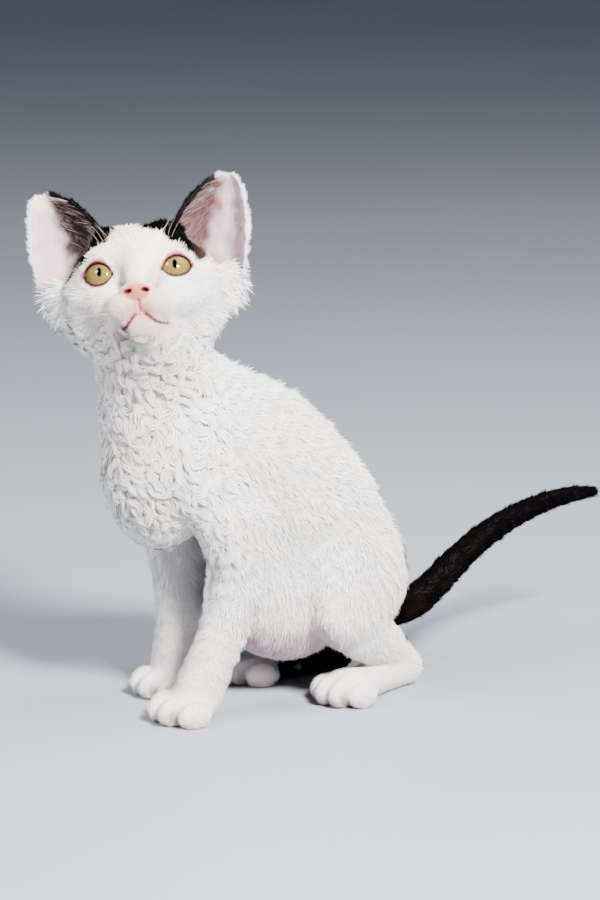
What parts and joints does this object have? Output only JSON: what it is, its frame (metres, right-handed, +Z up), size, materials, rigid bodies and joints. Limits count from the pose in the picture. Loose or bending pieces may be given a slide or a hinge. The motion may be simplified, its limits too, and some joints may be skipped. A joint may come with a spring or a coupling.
{
  "type": "devon rex kitten",
  "caption": "Life-size still model of a devon rex kitten in a low half sit, head raised and turned, with large cupped ears, a curly white coat and a black tail held out behind.",
  "frame": {"origin": "centre of the bounding box on the floor under the paws", "axes": "+Z up, the kitten faces -Y with its tail towards +Y, and its left side is +X"},
  "size_m": [0.1, 0.2914, 0.2326],
  "materials": {
    "head": "short wavy coat, matt",
    "ear_left": "thin skin, short down",
    "ear_right": "thin skin, short down",
    "eye_left": "glossy, clear cornea",
    "eye_right": "glossy, clear cornea",
    "neck": "curly coat, matt",
    "chest": "curly coat, matt",
    "belly": "short wavy coat, matt",
    "rump": "short wavy coat, matt",
    "foreleg_left": "short wavy coat, matt",
    "foreleg_right": "short wavy coat, matt",
    "forepaw_left": "short wavy coat, matt",
    "forepaw_right": "short wavy coat, matt",
    "hindleg_left": "short wavy coat, matt",
    "hindleg_right": "short wavy coat, soft sheen",
    "hindpaw_left": "short wavy coat, matt",
    "hindpaw_right": "short wavy coat, matt",
    "tail_root": "short wavy coat, soft sheen",
    "tail_middle": "short wavy coat, soft sheen",
    "tail_tip": "short wavy coat, soft sheen"
  },
  "bodies": {
    "root": {"head": "head", "ear_left": "ear_left", "ear_right": "ear_right", "eye_left": "eye_left", "eye_right": "eye_right", "neck": "neck", "chest": "chest", "belly": "belly", "rump": "rump", "foreleg_left": "foreleg_left", "foreleg_right": "foreleg_right", "forepaw_left": "forepaw_left", "forepaw_right": "forepaw_right", "hindleg_left": "hindleg_left", "hindleg_right": "hindleg_right", "hindpaw_left": "hindpaw_left", "hindpaw_right": "hindpaw_right", "tail_root": "tail_root", "tail_middle": "tail_middle", "tail_tip": "tail_tip"}
  },
  "joints": []
}
